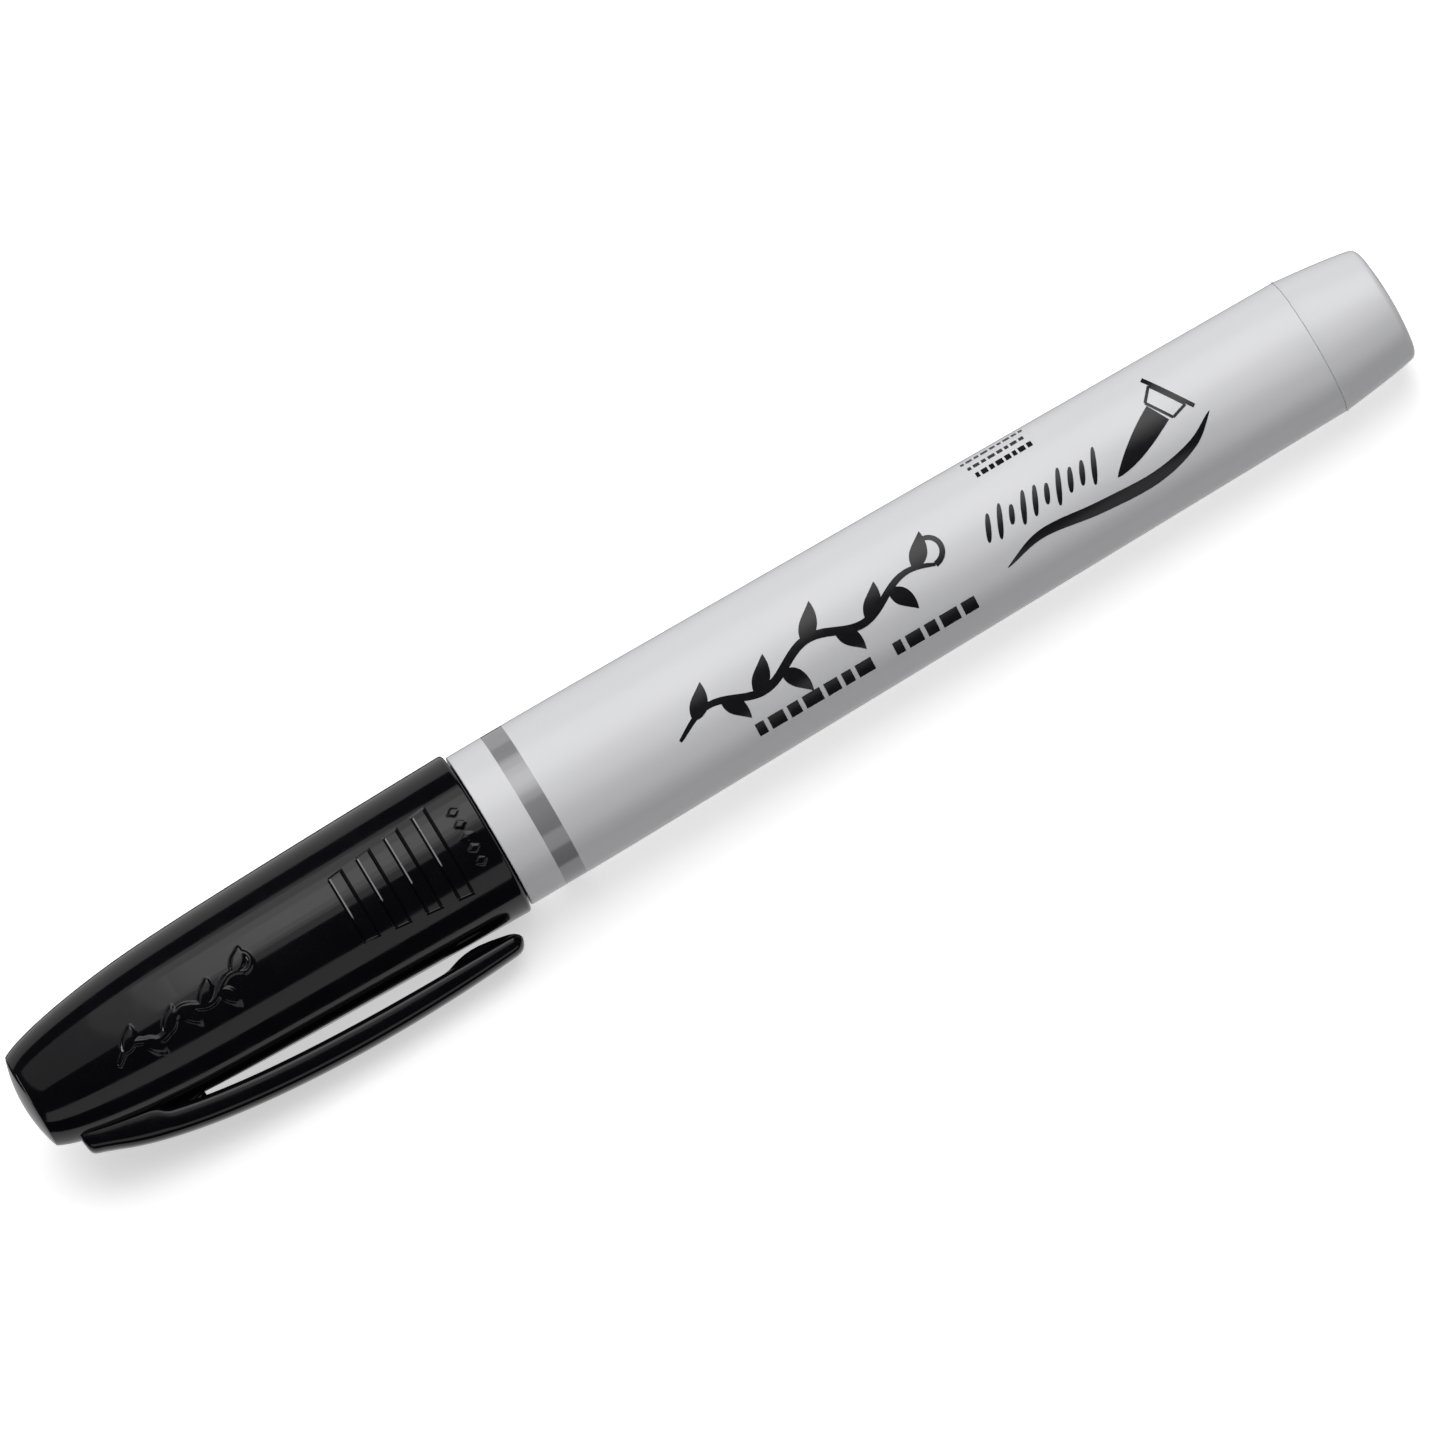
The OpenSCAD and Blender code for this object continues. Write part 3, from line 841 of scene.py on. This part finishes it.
# the bump under the clip's free end, as (x, height), and the half widths between which it fades
BUMP = np.array([
    [-9.6, 0], [-9.1, 0.08], [-8.6, 0.25], [-7.9, 0.46], [-7.2, 0.59], [-6.6, 0.64], [-5.8, 0.62],
    [-4.8, 0.5], [-3.8, 0.32], [-3.0, 0.16], [-2.6, 0.05], [-2.45, 0]])
BUMP_HALF_WIDTH = (0.95, 1.55)
GUSSET_END_X = -32.5
# how far the gusset reaches into the cap
GUSSET_ROOT = 0.5


def round_end(distance, length, narrow, rest):
    """Share of the full width at a distance from an end that is rounded over a length."""
    past = np.clip(distance / length, 0, 1)
    return narrow + rest * math.sqrt(1 - (1 - past) ** 2)


def clip_section(x):
    """One ring of the clip in its own (across, outwards) plane."""
    out = np.interp(x, CLIP_OUTER[:, 0], CLIP_OUTER[:, 1])
    low = np.interp(x, CLIP_INNER[:, 0], CLIP_INNER[:, 1])
    half = CLIP_W / 2
    half *= round_end(x - CLIP_ROOT_X, 1.2, 0.78, 0.22)
    half *= round_end(CLIP_TIP_X - x, 1.5, 0.45, 0.55)
    mid, tall = (out + low) / 2, max((out - low) / 2, 0.001)
    a = np.linspace(0, 2 * np.pi, CLIP_POINTS, endpoint=False)
    c, s = np.cos(a), np.sin(a)
    power = np.where(s > 0, 3.0, 5.0)
    across = half * np.sign(c) * np.abs(c) ** (2 / power)
    height = mid + tall * np.sign(s) * np.abs(s) ** (2 / power)
    crown = 0.16 * (across / half) ** 2 * (s > 0)
    height = height - crown * min(1.0, tall)
    lift = np.interp(x, BUMP[:, 0], BUMP[:, 1])
    if lift > 0:
        share = 1 - smooth(np.abs(across), *BUMP_HALF_WIDTH)
        height = height - lift * share * (s < 0)
    return across, height


def clip_ring(x, across, out):
    """Points at one place along the pen, from their distances across and outwards."""
    return (np.outer(np.full(len(out), x), (1, 0, 0)) + np.outer(out, CLIP_OUT)
            + np.outer(across, CLIP_ACROSS))


def make_clip():
    """The clip, from its root on the cap to its tip."""
    # stations lie close together at the rounded ends, the bend and the bump
    stations = np.unique(np.concatenate([
        CLIP_ROOT_X + 0.9 * (1 - np.cos(np.linspace(0, np.pi / 2, 12))), np.linspace(-43.1, -36, 30),
        np.linspace(-36, -10, 70), np.linspace(-10, -3.2, 40),
        CLIP_TIP_X - 0.9 * (1 - np.cos(np.linspace(np.pi / 2, 0.02, 14)))]))
    rings = [clip_ring(x, *clip_section(x)) for x in stations]
    verts = np.vstack(rings + [rings[0].mean(0), rings[-1].mean(0)])
    faces = grid_faces(len(rings), CLIP_POINTS) + end_fans(len(rings), CLIP_POINTS)
    obj = new_object("pocket_clip", verts, faces, BLACK)
    face_outwards(obj)
    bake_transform(obj)
    return obj


def make_gusset():
    """The web under the clip's root, thicker where it meets the cap and the clip."""
    low = line_points([(-38.6, 6.3), (-36.6, 6.55), (-34.4, 6.75), (-32.6, 6.9)], 8)
    high = line_points([(-38.6, 7.0), (-36.6, 7.35), (-34.4, 7.85), (-32.6, 7.35)], 8)
    levels = np.linspace(0, 1, 9)
    half = 0.8 + 0.55 * (1 - levels) ** 3 + 0.35 * levels**4
    rings = []
    for (x, bottom), (_, top) in zip(low, high):
        height = (bottom - GUSSET_ROOT) * (1 - levels) + top * levels
        wide = half * round_end(GUSSET_END_X - x, 1.1, 0.35, 0.65)
        across = np.concatenate([wide, -wide[::-1]])
        out = np.concatenate([height, height[::-1]])
        rings.append(clip_ring(x, across, out))
    points = len(rings[0])
    faces = grid_faces(len(rings), points)
    last = (len(rings) - 1) * points
    faces += [tuple(reversed(range(points))), tuple(last + i for i in range(points))]
    obj = new_object("clip_gusset", np.vstack(rings), faces, BLACK)
    face_outwards(obj)
    sharpen(obj, 45)
    return obj


gusset = make_gusset()
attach(gusset, "cap")
cap = make_cap()
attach(cap, "cap")
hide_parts("cap_shell")
clip = make_clip()
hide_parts("clip_arm")

# ---------------------------------------------------------------- stage

# the camera's height over the horizon, its turn towards the cap, and the pen's slope in the frame
VIEW_ELEVATION = math.radians(52.1)
VIEW_SWING = math.radians(3.2)
PEN_TILT = math.radians(30.56)
LEVEL_VIEW = Vector((0, -math.cos(VIEW_ELEVATION), math.sin(VIEW_ELEVATION)))
UP_AT_LEVEL = Vector((0, math.sin(VIEW_ELEVATION), math.cos(VIEW_ELEVATION)))
TO_CAMERA = LEVEL_VIEW * math.cos(VIEW_SWING) - Vector((1, 0, 0)) * math.sin(VIEW_SWING)
ALONG = Vector((1, 0, 0)) * math.cos(VIEW_SWING) + LEVEL_VIEW * math.sin(VIEW_SWING)
RIGHT = ALONG * math.cos(PEN_TILT) - UP_AT_LEVEL * math.sin(PEN_TILT)
UP = ALONG * math.sin(PEN_TILT) + UP_AT_LEVEL * math.cos(PEN_TILT)
DISTANCE = 1.3
FRAME_WIDTH = 0.12481
# where the clip touches the table
CLIP_REST_X = -10
FLOOR_REACH = 3
FLOOR_GLOW = 0.57
WORLD_GLOW = 0.015
# the point at the middle of the frame
TARGET = Vector((22.19, 0, 0)) * MM - UP_AT_LEVEL * 1.88 * MM


def make_camera():
    """The camera, at the photograph's angle."""
    data = bpy.data.cameras.new("camera")
    data.sensor_width = 36
    data.lens = data.sensor_width * DISTANCE / FRAME_WIDTH
    data.clip_start, data.clip_end = 0.01, 20
    obj = bpy.data.objects.new("camera", data)
    COLLECTION.objects.link(obj)
    obj.matrix_world = Matrix.Translation(TARGET + TO_CAMERA * DISTANCE) @ Matrix(
        (RIGHT, UP, TO_CAMERA)).transposed().to_4x4()
    bpy.context.scene.camera = obj


def area_light(name, out, place, side, size, radiance):
    """A rectangular light at a place, facing against the direction out. The sides of its size lie
    along the direction side and square to it."""
    data = bpy.data.lights.new(name, "AREA")
    data.shape = "RECTANGLE"
    data.size, data.size_y = size
    data.energy = radiance * math.pi * size[0] * size[1]
    obj = bpy.data.objects.new(name, data)
    COLLECTION.objects.link(obj)
    obj.matrix_world = Matrix.Translation(place) @ Matrix(
        (side, out.cross(side), out)).transposed().to_4x4()
    obj.visible_camera = False
    return obj


def softbox(name, bearing, distance, width, length, radiance, seen=True, offset_x=0.02):
    """A light facing the pen's axis. The bearing is the angle round the pen's axis, from the
    horizon on the camera's side up over the top; width lies across the pen and length along it."""
    a = math.radians(bearing)
    out = Vector((0, -math.cos(a), math.sin(a)))
    place = out * distance + Vector((offset_x, 0, 0))
    obj = area_light(name, out, place, Vector((1, 0, 0)), (length, width), radiance)
    obj.visible_glossy = seen
    return obj


def end_card():
    """A bright card beyond the cap's end, which draws the edges of the bars and the clip."""
    out = Vector((-0.935, 0.2, 0.292)).normalized()
    side = Vector((0, 0, 1)).cross(out).normalized()
    obj = area_light("end_card", out, out * 0.95, side, (0.84, 0.3), 4.8)
    obj.visible_diffuse = False


def make_floor():
    """A plain pale table that touches the clip and the barrel's tail."""
    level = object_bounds()[0].z
    foot = CLIP_REST_X * MM
    rise = (-TAIL_R * MM - level) / (BARREL_END_X * MM - foot)
    mesh = bpy.data.meshes.new("floor")
    r = FLOOR_REACH
    corners = ((-r, -r), (r, -r), (r, r), (-r, r))
    mesh.from_pydata([(x, y, level + rise * (x - foot)) for x, y in corners], [], [(0, 1, 2, 3)])
    mat, tree, shader = material("pale_floor", (0.93, 0.93, 0.93), 0.9)
    tree.links.new(mix_colours(tree, noise(tree, 0.01), (0.92, 0.92, 0.92), (0.94, 0.94, 0.94)),
                   shader.inputs["Base Color"])
    shader.inputs["Emission Color"].default_value = (1, 1, 1, 1)
    shader.inputs["Emission Strength"].default_value = FLOOR_GLOW
    shader.inputs["Specular IOR Level"].default_value = 0
    mesh.materials.append(mat)
    obj = bpy.data.objects.new("floor", mesh)
    COLLECTION.objects.link(obj)
    obj.visible_glossy = False
    obj.visible_diffuse = False
    obj.visible_shadow = False
    obj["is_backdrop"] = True
    return obj


def leave_out(light, obj):
    """Keeps a light off one object."""
    group = bpy.data.collections.new(light.name + "_receivers")
    group.objects.link(obj)
    group.collection_objects[0].light_linking.link_state = "EXCLUDE"
    light.light_linking.receiver_collection = group


def make_world():
    """A faint even light from all sides."""
    world = bpy.data.worlds.new("studio")
    world.use_nodes = True
    back = world.node_tree.nodes["Background"]
    back.inputs["Color"].default_value = (1, 1, 1, 1)
    back.inputs["Strength"].default_value = WORLD_GLOW
    bpy.context.scene.world = world


make_camera()
floor = make_floor()
make_world()
# bearing in degrees; distance, width and length in metres; radiance
softbox("top_box", 95, 0.7, 1.0, 1.4, 0.35)
softbox("top_inner", 95, 0.705, 1.0, 0.87, 0.3, offset_x=0.215)
softbox("top_middle", 97, 0.71, 0.75, 0.86, 0.5, offset_x=0.29)
softbox("top_heart", 93, 0.72, 0.5, 0.74, 0.5, offset_x=0.28)
softbox("top_core", 91, 0.73, 0.25, 0.65, 0.4, offset_x=0.275)
softbox("rear_card", 185, 0.8, 0.85, 1.6, 0.5)
softbox("front_strip", -5, 0.8, 0.38, 1.6, 0.6).visible_diffuse = False
softbox("table_glow", -92, 0.25, 0.45, 1.6, 0.6)
softbox("under_fill", -75, 0.4, 0.4, 1.6, 0.2, seen=False)
leave_out(softbox("camera_fill", 48, 1.0, 0.5, 1.2, 2.85, seen=False), floor)
softbox("rear_fill", 135, 1.2, 1.5, 1.5, 1.05, seen=False)
end_card()
bpy.context.scene.view_settings.view_transform = "Standard"
bpy.context.scene.view_settings.look = "None"
